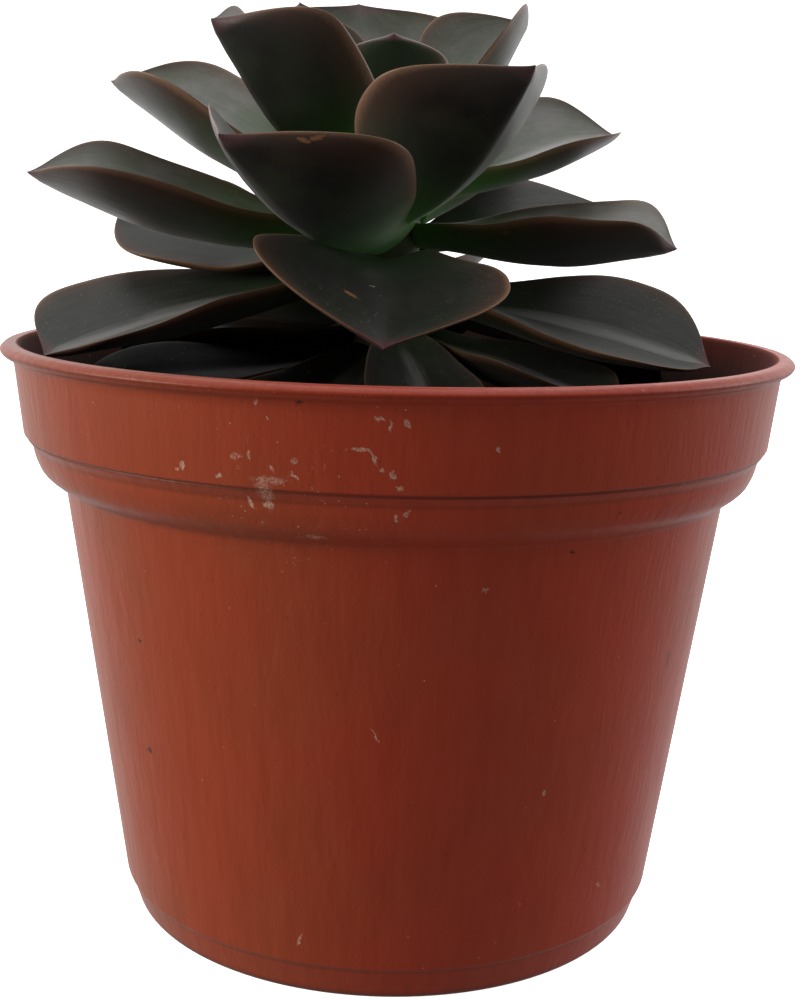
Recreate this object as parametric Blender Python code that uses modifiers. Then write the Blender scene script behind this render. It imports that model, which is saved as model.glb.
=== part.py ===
"""Potted echeveria: a plastic nursery pot with its soil, and a rosette of fleshy leaves on a short stem.

Frame: metres, +Z up, origin at the centre of the pot's base.
"""
from math import acos, atan2, cos, pi, radians, sin
from typing import NamedTuple

import bmesh
import bpy
from mathutils import Matrix, Vector

MM = 0.001
CREASE = 35.0
LEAF_CREASE = 60.0

# Pot: a turned shell with a wide upper band that steps in to a tapered wall
POT_STEPS = 48
POT_OUTSIDE = [
    (57.2, 88.1), (59.3, 88.1), (60.0, 87.5), (59.6, 87.0), (58.3, 86.4), (58.0, 85.4),
    (56.8, 75.3), (56.2, 74.7), (56.1, 74.3), (55.4, 73.8),
    (55.3, 72.0), (54.4, 69.8), (52.8, 68.4), (50.9, 67.4),
    (42.3, 5.2), (42.0, 4.8), (40.5, 0.6), (40.0, 0.0),
    (35.5, 0.0), (34.8, 2.0), (0.0, 2.0),
]
POT_INSIDE = [
    (0.0, 3.4), (38.6, 3.4), (40.2, 5.0), (49.5, 67.0),
    (51.6, 68.9), (54.1, 72.5), (54.7, 75.0), (56.7, 86.3),
]
DRAIN_HOLES = 6
DRAIN_RADIUS = 3.5
DRAIN_CIRCLE = 24.0
DRAIN_DEPTH = 4.0
DRAIN_SIDES = 12

# Stem: a thick upright stalk that the leaves stand round, a little left of the pot's centre
STEM_X = -2.0
STEM_RADIUS = 5.1
STEM_FOOT = 52.3
STEM_SHOULDER = 112.0
STEM_TOP = 116.5
STEM_STEPS = 24

# Soil: fills the pot to below the inner step, with a plain hole for the stem
GAP = 0.3
SOIL_FLOOR = 3.7
SOIL_MIDDLE = 69.4
SOIL_EDGE = 66.2
SOIL_STEPS = 48

# Leaves: shares of the length and of the half width, thicknesses in millimetres
LEAF_AROUND = 12
LEAF_RINGS = 13
BUD_AROUND = 8
BUD_RINGS = 7
ROOT_SHARE = 0.22
WIDEST_AT = 0.70
THICK_ROOT = 1.8
THICK_BELLY = 3.0
THICK_TIP = 0.8
CROWN_SHARE = 0.15
SWELL_BY = 0.45
THIN_FROM = 0.55
ROLL_BY = 0.45
ROOT_NIB = 0.2
MIDRIB_STEPS = 24


class Leaf(NamedTuple):
    """One leaf: where it leaves the stem, how it rises and turns, and how wide and folded it is."""

    heading: float
    turn: float
    height: float
    rise_root: float
    rise_tip: float
    length: float
    width: float
    fold: float
    roll: float = 0.0
    blunt: float = 2.3
    root_radius: float = STEM_RADIUS + 0.5
    plump: float = 1.0


# Headings in degrees from +X round to +Y, the far side; lengths in millimetres. From the heart outwards.
LEAVES = [
    # the upright leaves of the heart
    Leaf(272, 0, 113, 70, 80, 21, 17, 12, 0, 3.4),
    Leaf(342.5, 0, 112.9, 62, 74, 16, 9.5, 22, 0, 2.2),
    Leaf(184, 0, 112.6, 58, 76, 25, 15, 30, 0, 2.2),
    Leaf(41, 0, 113.75, 55, 40, 33.8, 24, 40, 0, 2.8),
    Leaf(137, -14, 111.6, 54, 66, 33.4, 17.5, 30, 0, 2.2),
    Leaf(100, 0, 109.1, 36, 62, 44.6, 34.5, 14, 0, 4.6),
    # the two broad leaves that stand up at the front
    Leaf(236, -21, 109.5, 34, 43, 37.6, 30, 36, -8, 3.6),
    Leaf(285, 27, 107.55, 13, 43, 41.5, 33, 28, 5),
    # the spreading ring, with the low broad leaf at the front
    Leaf(165, 0, 107.6, 28, 25, 44.5, 27, 33, -10),
    Leaf(24, 0, 110.8, 21, 13.5, 35.2, 24, 26, 18, 3.2),
    Leaf(251, -21, 103.9, 5, 33, 42, 37, 28, -9),
    Leaf(116.6, 0, 106.4, 18, 33, 42, 24, 18),
    Leaf(65.8, 0, 106.65, 17, 25, 42, 25, 20),
    # the level ring
    Leaf(190, 0, 103.8, 4, 17.5, 48.4, 28, 26, -10, 3.0),
    Leaf(346, 0, 104.8, -2, 0, 37.8, 27, 24, 6, 4.4),
    Leaf(265, 12, 101.2, 2, -27, 42.5, 35.6, 16, -8, 2.1),
    Leaf(37, 0, 103.7, 8, 9.5, 41, 26, 10, 18),
    Leaf(116, 0, 103.2, 3, 10, 43, 26, 16),
    Leaf(158, 0, 101.5, -0.5, 20, 42, 27, 8, -26, 2.6),
    Leaf(84, 0, 99, -4, -2, 45, 28, 18),
    # the drooping ring that reaches down to the pot's rim
    Leaf(187, 26, 98.6, -11, -17, 47.8, 36, 14, -6, 4.6),
    Leaf(351, 0, 95.6, -6, -16.8, 44.6, 30, 14, 19, 3.4),
    Leaf(50, 0, 95, -8, -14, 44, 27, 18),
    Leaf(120, 0, 94.5, -8, -12, 44, 27, 18),
    # the narrow old leaves underneath, inside the rim
    Leaf(280, 0, 91.5, -14, -22, 40, 16.5, 16),
    Leaf(318, 0, 90.6, -12, -10, 38, 19, 16, 0, 2.6),
    Leaf(84, 0, 89.8, -10, -6, 42, 24, 18),
    Leaf(158, 0, 89, -6, -8, 42, 25, 18),
    Leaf(249, 0, 87.7, -12, -14, 40, 20, 14),
    Leaf(16, 0, 87.5, -8, -6, 42, 25, 18),
    Leaf(205, 0, 86.7, -6, -2, 42, 24, 8, -8),
]

# Bud: the tight youngest leaves at the stem's top, each turned from the last by the golden angle
BUD_LEAVES = 6
BUD_HEADING = 80.0
GOLDEN_ANGLE = 137.5


def clear_scene():
    for thing in list(bpy.data.objects):
        bpy.data.objects.remove(thing, do_unlink=True)


def make_collection(name):
    collection = bpy.data.collections.new(name)
    bpy.context.scene.collection.children.link(collection)
    return collection


def make_material(name, color, roughness):
    material = bpy.data.materials.new(name)
    material.use_nodes = True
    shader = material.node_tree.nodes["Principled BSDF"]
    shader.inputs["Base Color"].default_value = (*color, 1.0)
    shader.inputs["Roughness"].default_value = roughness
    shader.inputs["Metallic"].default_value = 0.0
    material.diffuse_color = (*color, 1.0)
    return material


def add_object(name, mesh, collection, material=None):
    thing = bpy.data.objects.new(name, mesh)
    collection.objects.link(thing)
    if material:
        mesh.materials.append(material)
    return thing


def turned(name, profile, steps, collection, material):
    """A profile of (radius, height) in millimetres, turned about Z by a Screw modifier."""
    mesh = bpy.data.meshes.new(name)
    points = [(radius * MM, 0.0, height * MM) for radius, height in profile]
    mesh.from_pydata(points, [(i, i + 1) for i in range(len(points) - 1)], [])
    thing = add_object(name, mesh, collection, material)
    screw = thing.modifiers.new("turn", "SCREW")
    screw.steps = steps
    screw.render_steps = steps
    screw.use_merge_vertices = True
    screw.merge_threshold = 0.00005
    screw.use_smooth_shade = True
    return thing


def apply_modifiers(thing):
    """Replaces the object's mesh by its evaluated one."""
    evaluated = thing.evaluated_get(bpy.context.evaluated_depsgraph_get())
    mesh = bpy.data.meshes.new_from_object(evaluated)
    thing.modifiers.clear()
    thing.data = mesh


def smooth_shade(thing, angle=CREASE):
    thing.data.shade_smooth()
    thing.data.set_sharp_from_angle(angle=radians(angle))


def add_boolean(thing, operation, collection):
    boolean = thing.modifiers.new(operation.lower(), "BOOLEAN")
    boolean.operation = operation
    boolean.solver = "EXACT"
    boolean.operand_type = "COLLECTION"
    boolean.collection = collection


def round_cutter(name, radius, depth, place, segments, collection):
    """A plain cylinder, sizes and place in millimetres, that a Boolean takes away."""
    shape = bmesh.new()
    bmesh.ops.create_cone(shape, cap_ends=True, segments=segments, radius1=radius * MM, radius2=radius * MM,
                          depth=depth * MM)
    mesh = bpy.data.meshes.new(name)
    shape.to_mesh(mesh)
    shape.free()
    cutter = add_object(name, mesh, collection)
    cutter.location = Vector(place) * MM
    cutter.hide_render = True
    cutter.display_type = "WIRE"


def build_pot(collection, material):
    pot = turned("pot", POT_INSIDE + POT_OUTSIDE, POT_STEPS, collection, material)
    cutters = make_collection("drain_cutters")
    for i in range(DRAIN_HOLES):
        angle = 2 * pi * i / DRAIN_HOLES
        place = (DRAIN_CIRCLE * cos(angle), DRAIN_CIRCLE * sin(angle), DRAIN_DEPTH)
        round_cutter("drain_cutter", DRAIN_RADIUS, 2 * DRAIN_DEPTH, place, DRAIN_SIDES, cutters)
    add_boolean(pot, "DIFFERENCE", cutters)
    apply_modifiers(pot)
    smooth_shade(pot)


def build_soil(collection, material):
    """A plug that follows the pot's inside a small gap away, crowned towards the stem."""
    profile = [
        (0.0, SOIL_MIDDLE), (12.0, SOIL_MIDDLE - 0.2), (26.0, SOIL_MIDDLE - 1.2), (40.0, SOIL_EDGE + 0.9),
        (49.0, SOIL_EDGE), (40.2 - GAP, 5.2), (38.5 - GAP, SOIL_FLOOR), (0.0, SOIL_FLOOR),
    ]
    soil = turned("soil", profile, SOIL_STEPS, collection, material)
    cutters = make_collection("stem_cutter")
    floor = STEM_FOOT - GAP
    depth = 2 * (SOIL_MIDDLE - floor)
    place = (STEM_X, 0.0, floor + depth / 2)
    round_cutter("stem_cutter", STEM_RADIUS + GAP, depth, place, STEM_STEPS, cutters)
    add_boolean(soil, "DIFFERENCE", cutters)
    apply_modifiers(soil)
    smooth_shade(soil)


def ease(share):
    """Smooth step from 0 to 1."""
    share = min(max(share, 0.0), 1.0)
    return share * share * (3 - 2 * share)


def half_width(leaf, along):
    """Half width: a narrow root that swells to the widest place and closes to a point."""
    if along < WIDEST_AT:
        share = ROOT_SHARE + (1 - ROOT_SHARE) * ease(along / WIDEST_AT)
    else:
        share = 1 - ((along - WIDEST_AT) / (1 - WIDEST_AT)) ** leaf.blunt
    return share * leaf.width / 2


def thickness(leaf, along):
    swell = (THICK_BELLY - THICK_ROOT) * ease(along / SWELL_BY)
    thin = (THICK_BELLY - THICK_TIP) * ease((along - THIN_FROM) / (1 - THIN_FROM))
    return leaf.plump * (THICK_ROOT + swell - thin)


def growing_way(leaf, along):
    """Unit vector along the midrib."""
    rise = radians(leaf.rise_root + (leaf.rise_tip - leaf.rise_root) * along)
    heading = radians(leaf.heading + leaf.turn * along)
    return Vector((cos(rise) * cos(heading), cos(rise) * sin(heading), sin(rise)))


def midrib(leaf, along):
    """Point of the midrib, summed in short steps from the root."""
    heading = radians(leaf.heading)
    place = Vector((STEM_X + leaf.root_radius * cos(heading), leaf.root_radius * sin(heading), leaf.height))
    for step in range(MIDRIB_STEPS):
        middle = along * (step + 0.5) / MIDRIB_STEPS
        place += growing_way(leaf, middle) * leaf.length * along / MIDRIB_STEPS
    return place


def leaf_point(leaf, along, across, up):
    """Point of the leaf's skin: across from -1 to 1 between the margins, up from -1 below to 1 above."""
    tangent = growing_way(leaf, along)
    heading = radians(leaf.heading + leaf.turn * along)
    level_side = Vector((-sin(heading), cos(heading), 0.0))
    upright = tangent.cross(level_side)
    roll = radians(leaf.roll) * ease(along / ROLL_BY)
    side = level_side * cos(roll) + upright * sin(roll)
    face = upright * cos(roll) - level_side * sin(roll)
    reach = half_width(leaf, along)
    fold = radians(leaf.fold)
    lift = abs(across) ** 1.5 * reach * sin(fold)
    lift += up * thickness(leaf, along) * (CROWN_SHARE if up > 0 else 1.0)
    return midrib(leaf, along) + side * across * reach * cos(fold) + face * lift


def shape_leaf(name, leaf, around, rings, collection, material):
    """A ball whose rings are moved to the leaf's sections, the root at its lower pole and the tip on top."""
    shape = bmesh.new()
    bmesh.ops.create_uvsphere(shape, u_segments=around, v_segments=rings + 1, radius=1.0)
    ring_of = {}
    across_of = {}
    for vert in shape.verts:
        ring = round(acos(max(-1.0, min(1.0, -vert.co.z))) / pi * (rings + 1))
        turn = atan2(vert.co.y, vert.co.x)
        ring_of[vert] = ring
        across_of[vert] = abs(cos(turn))
        if ring == 0:
            vert.co = leaf_point(leaf, 0.0, 0.0, -0.3) - growing_way(leaf, 0.0) * ROOT_NIB
        elif ring == rings + 1:
            vert.co = leaf_point(leaf, 1.0, 0.0, 0.0)
        else:
            along = 1 - (1 - (ring - 1) / (rings - 0.5)) ** 1.15
            vert.co = leaf_point(leaf, along, cos(turn), sin(turn))
    split_alike(shape, ring_of, across_of)
    bmesh.ops.scale(shape, vec=(MM, MM, MM), verts=shape.verts)
    mesh = bpy.data.meshes.new(name)
    shape.to_mesh(mesh)
    shape.free()
    return add_object(name, mesh, collection, material)


def split_alike(shape, ring_of, across_of):
    """Splits each quad from its outer corner nearer the root, so both sides of the blade match."""
    for quad in [face for face in shape.faces if len(face.verts) == 4]:
        low = min(ring_of[vert] for vert in quad.verts)
        near = [vert for vert in quad.verts if ring_of[vert] == low]
        far = [vert for vert in quad.verts if ring_of[vert] > low]
        bmesh.utils.face_split(quad, max(near, key=across_of.get), min(far, key=across_of.get))


def bud_leaf(i):
    """The i-th leaf of the bud, from the outermost inwards."""
    share = i / (BUD_LEAVES - 1)
    return Leaf(BUD_HEADING + GOLDEN_ANGLE * i, 0, 111.0 + 1.5 * share, 70 + 12 * share, 86, 14 - 5 * share,
                7.0 - 2.5 * share, 34, 0, 1.8, 2.2 - 1.0 * share, 0.6)


def build_stem(collection, material):
    """The stalk, with the tight young leaves of its bud fused to its top."""
    profile = [
        (0.0, STEM_TOP), (2.4, STEM_TOP - 0.7), (4.0, STEM_TOP - 2.4), (STEM_RADIUS - 0.4, STEM_SHOULDER),
        (STEM_RADIUS, STEM_SHOULDER - 3.0),
        (STEM_RADIUS - 0.2, 98.0), (STEM_RADIUS, 84.0), (STEM_RADIUS - 0.2, 72.0), (STEM_RADIUS, 60.0),
        (STEM_RADIUS - 0.5, STEM_FOOT + 0.4), (STEM_RADIUS - 1.2, STEM_FOOT), (0.0, STEM_FOOT),
    ]
    stem = turned("stem", profile, STEM_STEPS, collection, material)
    apply_modifiers(stem)
    stem.data.transform(Matrix.Translation((STEM_X * MM, 0.0, 0.0)))
    bud = make_collection("bud")
    for i in range(BUD_LEAVES):
        shape_leaf("bud_leaf", bud_leaf(i), BUD_AROUND, BUD_RINGS, bud, None)
    add_boolean(stem, "UNION", bud)
    apply_modifiers(stem)
    for thing in list(bud.objects):
        bpy.data.objects.remove(thing, do_unlink=True)
    bpy.data.collections.remove(bud)
    smooth_shade(stem)


def main():
    clear_scene()
    parts = make_collection("potted_echeveria")
    pot_plastic = make_material("pot_plastic", (0.29, 0.066, 0.030), 0.5)
    potting_soil = make_material("potting_soil", (0.025, 0.017, 0.011), 0.95)
    stem_green = make_material("stem_green", (0.060, 0.095, 0.030), 0.6)
    leaf_green = make_material("leaf_green", (0.035, 0.038, 0.024), 0.45)
    build_pot(parts, pot_plastic)
    build_soil(parts, potting_soil)
    build_stem(parts, stem_green)
    for number, leaf in enumerate(LEAVES, start=1):
        thing = shape_leaf(f"leaf_{number:02d}", leaf, LEAF_AROUND, LEAF_RINGS, parts, leaf_green)
        smooth_shade(thing, LEAF_CREASE)


main()
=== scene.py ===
"""Potted echeveria, dressed: a rosette of dark waxy leaves in a terracotta-coloured plastic pot.

Frame: metres, +Z up, origin at the centre of the pot's base. Sizes below are millimetres and degrees
unless a comment says otherwise. The pot, the soil, the stem and each leaf replace their CAD nodes with
a finer model in the same place.
"""

from math import cos, pi, radians, sin

import bmesh
import bpy
import numpy as np
from mathutils import Matrix, Vector, noise


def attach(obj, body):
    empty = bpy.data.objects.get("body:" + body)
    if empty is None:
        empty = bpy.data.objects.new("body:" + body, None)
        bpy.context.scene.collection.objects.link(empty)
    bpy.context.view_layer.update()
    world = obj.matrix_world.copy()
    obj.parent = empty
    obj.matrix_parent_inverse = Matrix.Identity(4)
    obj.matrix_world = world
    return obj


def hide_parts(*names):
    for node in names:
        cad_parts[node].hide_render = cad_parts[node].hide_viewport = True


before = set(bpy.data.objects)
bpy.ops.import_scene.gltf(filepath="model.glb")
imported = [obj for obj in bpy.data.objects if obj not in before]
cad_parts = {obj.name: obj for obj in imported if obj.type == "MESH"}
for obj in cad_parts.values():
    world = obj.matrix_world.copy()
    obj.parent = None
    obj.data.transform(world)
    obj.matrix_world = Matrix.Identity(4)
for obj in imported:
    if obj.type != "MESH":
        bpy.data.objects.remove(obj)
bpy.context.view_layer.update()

MM = 0.001

# Camera, fitted to the pot's ellipses in the photograph
CAMERA_BACK = 233.6
CAMERA_HEIGHT = 109.5
CAMERA_PITCH = 11.14
CAMERA_ROLL = 1.36
CAMERA_LENS = 54.0
CAMERA_SENSOR = 36.0
CAMERA_SHIFT = 0.0063
CAMERA_CLIP = 10.0

# Pot: radius, height and rounding of each corner, from the inner floor over the lip to the underside
POT_AROUND = 144
POT_CORNERS = [
    (38.6, 3.4, 0.0), (40.2, 5.0, 1.0), (49.5, 67.0, 1.2), (51.6, 68.9, 1.0), (54.1, 72.5, 1.2),
    (54.7, 75.0, 1.0), (56.7, 86.4, 0.8), (57.1, 88.5, 0.6), (59.2, 88.55, 0.5), (60.1, 87.65, 0.4),
    (59.6, 86.95, 0.25), (58.3, 86.4, 0.4), (58.0, 85.4, 0.5), (56.85, 75.25, 0.2), (56.4, 75.02, 0.08),
    (56.45, 74.7, 0.1), (55.6, 73.6, 0.5), (55.3, 72.0, 0.6), (54.4, 69.8, 0.8), (52.8, 68.4, 0.8),
    (50.9, 67.4, 0.6), (42.3, 5.3, 0.3), (41.85, 4.85, 0.2), (40.5, 0.6, 0.5), (39.9, 0.0, 0.2),
    (35.6, 0.0, 0.3), (34.8, 2.0, 0.0),
]
SMOOTH_ANGLE = 40

# A rounding has this many steps and takes up no more than this share of a side
ROUNDING_STEPS = 4
ROUNDING_LIMIT = 0.48

# The corners of the outer wall, from under the lip down to the foot
OUTER_WALL = POT_CORNERS[10:24]

# Drain holes: how far the cutters reach above and below the underside, and the circle they stand on
DRAIN_HOLES = 6
DRAIN_AROUND = 32
DRAIN_RADIUS = 3.5
DRAIN_CIRCLE = 24.0
DRAIN_REACH = 8.0

# Heights where painted shade darkens the pot
GROOVE_HEIGHT = 74.86
STEP_HEIGHT = 73.55
FOOT_HEIGHT = 4.9

# Lines up the middle of the pot's wall, each with a radius, its slope and the height of that radius: the
# taper, the flare above it, the shelf and the rim band
MID_WALL = [(41.3, 0.145, 5.0), (50.2, 1.2, 67.0), (52.6, 0.5, 69.0), (55.6, 0.15, 75.0)]

# The place on the front wall with the most lime, whose height is squeezed like that of the points
LIME_PLACE = (-12.7, -52.5, 57.0)
LIME_SQUEEZE = 0.8

# Soil: radius and height up its side, and of its crown, which is the one in the part's source
SOIL_AROUND = 96
SOIL_SIDE = [(37.9, 3.7), (39.9, 5.2), (48.9, 66.0)]
SOIL_CROWN = [(49.0, 66.2), (40.0, 67.1), (26.0, 68.2), (12.0, 69.2)]
SOIL_TOP_RADIUS = 48.4
SOIL_RINGS = 26

# Lumps of the soil's top: their height and patches per millimetre, and where they begin and fade out
LUMP_HEIGHT = 0.9
LUMP_SCALE = 0.16
LUMPS_ABOVE = 65.5
LUMPS_WITHIN = 48.6
LUMP_FADE_END = 48.8
LUMP_FADE_OVER = 4

# Crumbs: they lie in a circle, apart from its very middle. Each has a radius, which grows by CRUMB_GAIN
# at most, and is lifted by a share of it. A blank is dented and then flattened.
CRUMBS = 340
CRUMB_SEED = 7
CRUMB_BLANKS = 3
CRUMB_REACH = 46.5
CRUMB_NEAREST = 0.02
CRUMB_RADIUS = 0.5
CRUMB_GAIN = 1.1
CRUMB_LIFT = 0.25
CRUMB_DENTS = 0.35
CRUMB_SHAPE = (1.0, 0.8, 0.65)

# Stem: its place, radius, foot and top are those in the part's source. Two kinds of knuckles, each with
# a height and a spacing, run up it between two heights.
STEM_AROUND = 48
STEM_X = -2.0
STEM_RADIUS = 5.1
STEM_FOOT = 52.3
STEM_TOP = 116.5
STEM_BASE = [(STEM_RADIUS - 1.2, STEM_FOOT), (STEM_RADIUS - 0.5, STEM_FOOT + 0.4)]
STEM_CAP = [(STEM_RADIUS - 0.9, 113.2), (4.0, 114.1), (2.4, 115.8), (0.6, STEM_TOP)]
STEM_RINGS = 60
KNUCKLES = [(0.22, 3.1), (0.12, 1.3)]
KNUCKLED_RADIUS = STEM_RADIUS - 0.15
KNUCKLED_FROM = 60.0
KNUCKLED_TO = 112.0

# Leaf sections, as in the part's source, where a place along a leaf goes from 0 at its root to 1 at its
# tip. The root is broader than the solid's, which has to stay clear of its neighbours, because a real leaf
# clasps the stem.
LEAF_AROUND = 72
LEAF_RINGS = 76
POLE_RING = 1e-6
ROOT_SHARE = 0.38
WIDEST_AT = 0.70
THICK_ROOT = 1.8
THICK_BELLY = 3.0
THICK_TIP = 0.8
CROWN_SHARE = 0.15
SWELL_BY = 0.45
THIN_FROM = 0.55
ROLL_BY = 0.45
FOLD_CURVE = 1.5
ROOT_RADIUS = STEM_RADIUS + 0.5
ROOT_START = -0.035
ROOT_ROUND = 0.03
POINT_FROM = 0.965
POINT_END = 1.014
STATIONS = 121
STATIONS_BEYOND = 0.02
GOLDEN_TURN = 0.618034

# The finer forms that only this script adds: the small spine at the tip, the margin's unevenness, the
# keel below, the channel above and the slow waves of the margin. Counts are waves in a leaf's length, and
# shifts are parts of a wave.
SPINE_TAPER = 1.3
SPINE_THINNING = 0.6
UNEVEN_SHARE = 0.012
UNEVEN_COUNT = 2.7
UNEVEN_SHIFT = 3
KEEL_HEIGHT = 0.4
KEEL_WIDTH = 0.12
KEEL_BY = 0.6
HEART_KEEL_SHARE = 0.25
CHANNEL_DEPTH = 0.3
CHANNEL_WIDTH = 0.28
WAVE_HEIGHT = 0.28
WAVE_COUNT = 1.9
WAVE_CURVE = 3
WAVE_SIDE_SHIFT = 0.37
FORMS_FULL_BY = 0.3
FORMS_FADE_OVER = 0.12

# Heading, turn, height, rise at root, rise at tip, length, width, fold, roll, bluntness of the tip.
# Headings run from +X round to +Y, the far side. From the heart outwards, leaf_01 to leaf_31.
LEAVES = [
    (272, 0, 113, 70, 80, 21, 17, 12, 0, 3.4),
    (342.5, 0, 112.9, 62, 74, 16, 9.5, 22, 0, 2.2),
    (184, 0, 112.6, 58, 76, 25, 15, 30, 0, 2.2),
    (41, 0, 113.75, 55, 40, 33.8, 24, 40, 0, 2.8),
    (137, -14, 111.6, 54, 66, 33.4, 17.5, 30, 0, 2.2),
    (100, 0, 109.1, 36, 62, 44.6, 34.5, 14, 0, 4.6),
    (236, -21, 109.5, 34, 43, 37.6, 30, 36, -8, 3.6),
    (285, 27, 107.55, 13, 43, 41.5, 33, 28, 5, 2.3),
    (165, 0, 107.6, 28, 25, 44.5, 27, 33, -10, 2.3),
    (24, 0, 110.8, 21, 13.5, 35.2, 24, 26, 18, 3.2),
    (251, -21, 103.9, 5, 33, 42, 37, 28, -9, 2.3),
    (116.6, 0, 106.4, 18, 33, 42, 24, 18, 0, 2.3),
    (65.8, 0, 106.65, 17, 25, 42, 25, 20, 0, 2.3),
    (190, 0, 103.8, 4, 17.5, 48.4, 28, 26, -10, 3.0),
    (346, 0, 104.8, -2, 0, 37.8, 27, 24, 6, 4.4),
    (265, 12, 101.2, 2, -27, 42.5, 35.6, 16, -8, 2.1),
    (37, 0, 103.7, 8, 9.5, 41, 26, 10, 18, 2.3),
    (116, 0, 103.2, 3, 10, 43, 26, 16, 0, 2.3),
    (158, 0, 101.5, -0.5, 20, 42, 27, 8, -26, 2.6),
    (84, 0, 99, -4, -2, 45, 28, 18, 0, 2.3),
    (187, 26, 98.6, -11, -17, 47.8, 36, 14, -6, 4.6),
    (351, 0, 95.6, -6, -16.8, 44.6, 30, 14, 19, 3.4),
    (50, 0, 95, -8, -14, 44, 27, 18, 0, 2.3),
    (120, 0, 94.5, -8, -12, 44, 27, 18, 0, 2.3),
    (280, 0, 91.5, -14, -22, 40, 16.5, 16, 0, 2.3),
    (318, 0, 90.6, -12, -10, 38, 19, 16, 0, 2.6),
    (84, 0, 89.8, -10, -6, 42, 24, 18, 0, 2.3),
    (158, 0, 89, -6, -8, 42, 25, 18, 0, 2.3),
    (249, 0, 87.7, -12, -14, 40, 20, 14, 0, 2.3),
    (16, 0, 87.5, -8, -6, 42, 25, 18, 0, 2.3),
    (205, 0, 86.7, -6, -2, 42, 24, 8, -8, 2.3),
]

# Marks on single leaves: place on the skin, the way its long side runs, half length, half width, colour
LEAF_MARKS = [
    ((-12.3, -41.3, 117.1), (1.0, 0.0, -0.35), 1.1, 0.4, "cork"),
    ((-10.6, -41.4, 117.5), (1.0, 0.0, 0.30), 1.3, 0.45, "cork"),
    ((-6.3, -36.1, 98.0), (1.7, -0.6, -0.9), 1.3, 0.65, "cork"),
    ((-3.6, -30.3, 98.9), (1.0, 0.5, -0.4), 0.6, 0.4, "pale"),
    ((-2.4, -33.3, 97.9), (1.0, 0.3, -0.2), 0.45, 0.35, "pale"),
    ((13.2, -10.6, 106.2), (0.75, -0.65, 0.0), 1.3, 0.6, "cork"),
    ((15.4, -12.5, 106.2), (0.75, -0.65, 0.0), 0.9, 0.6, "cork"),
]

# Leaves before this number are the heart's, with hardly a keel
FIRST_BROAD_LEAF = 4

# The first leaf of the waxy skin, painted lighter on top, of the dull skin and of the oldest skin, both
# painted with shade; before them is the heart's
SKIN_CHANGES = [3, 16, 27]

# Ages run from 0 for leaf_01 to 1 for leaf_31. The leaf of this age droops over the rim, and its painted
# highlight along the channel is mostly left out.
DROOPING_AGE = 0.5

# How much potting soil lies along the near margin of single leaves, by number
GRIME = {15: 0.35, 16: 0.3, 22: 1.0, 26: 0.8, 25: 0.5, 31: 0.6, 29: 0.5}

# Bud: the six youngest leaves on the stem's top. A pair is the value of the oldest of them, and what it
# gains up to the youngest.
BUD_LEAVES = 6
BUD_FIRST_NUMBER = 40
BUD_HEADING = 80.0
GOLDEN_ANGLE = 137.5
BUD_HEIGHT = (111.0, 1.5)
BUD_RISE = (70, 12)
BUD_TIP_RISE = 86
BUD_LENGTH = (14, -5)
BUD_WIDTH = (7.0, -2.5)
BUD_FOLD = 34
BUD_BLUNTNESS = 1.8
BUD_ROOT_RADIUS = (2.2, -1.0)
BUD_PLUMPNESS = 0.6

# Marks on the pot: heading, height, half width, half height, lean and kind
POT_MARKS = [
    (253.8, 74.8, 1.2, 2.5, 5, "smear"),
    (254.6, 76.4, 2.6, 0.45, 0, "smear"),
    (257.9, 79.0, 0.5, 0.5, 0, "smear"),
    (259.6, 68.9, 1.5, 0.4, 0, "smear"),
    (250.2, 79.0, 0.9, 0.4, 20, "smear"),
    (253.9, 73.0, 0.9, 0.6, 10, "pale"),
    (251.4, 73.2, 0.3, 1.2, 35, "pale"),
    (251.9, 79.3, 0.3, 0.5, 10, "pale"),
    (254.9, 77.9, 0.35, 0.6, 25, "pale"),
    (257.8, 77.0, 0.4, 0.35, 0, "pale"),
    (247.8, 76.4, 0.45, 0.4, 0, "pale"),
    (242.5, 77.3, 0.3, 0.7, -20, "pale"),
    (241.7, 76.7, 0.4, 0.3, 0, "pale"),
    (266.0, 80.8, 1.5, 0.3, -6, "pale"),
    (267.4, 79.8, 0.28, 1.2, 22, "pale"),
    (268.6, 78.4, 0.25, 0.4, 0, "pale"),
    (269.8, 77.8, 0.28, 0.7, 15, "pale"),
    (270.7, 76.1, 0.6, 0.35, -20, "pale"),
    (268.0, 84.6, 0.9, 0.25, -15, "pale"),
    (269.4, 83.8, 0.25, 0.8, 12, "pale"),
    (271.3, 84.1, 0.35, 0.6, 20, "pale"),
    (271.6, 72.8, 0.25, 0.5, -30, "pale"),
    (270.3, 72.0, 0.22, 0.45, 20, "pale"),
    (253.1, 86.0, 0.25, 0.4, 0, "pale"),
    (254.6, 84.2, 0.2, 0.3, 0, "pale"),
    (282.4, 80.9, 0.2, 0.5, 10, "pale"),
    (258.7, 86.3, 0.55, 0.4, 0, "dark"),
    (301.3, 71.8, 0.3, 0.3, 0, "dark"),
    (283.6, 61.7, 0.45, 0.25, 20, "pale"),
    (297.9, 31.3, 0.5, 0.35, 0, "pale"),
    (315.5, 13.2, 0.7, 0.3, -25, "pale"),
    (267.8, 41.4, 0.18, 1.4, 30, "pale"),
    (254.2, 9.1, 0.2, 1.3, -20, "pale"),
    (297.0, 66.2, 0.5, 0.3, 0, "dark"),
    (326.1, 46.3, 0.3, 1.5, 5, "dark"),
    (224.1, 49.5, 0.5, 0.4, 0, "dark"),
    (222.6, 32.5, 0.6, 0.5, 30, "dark"),
]
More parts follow.
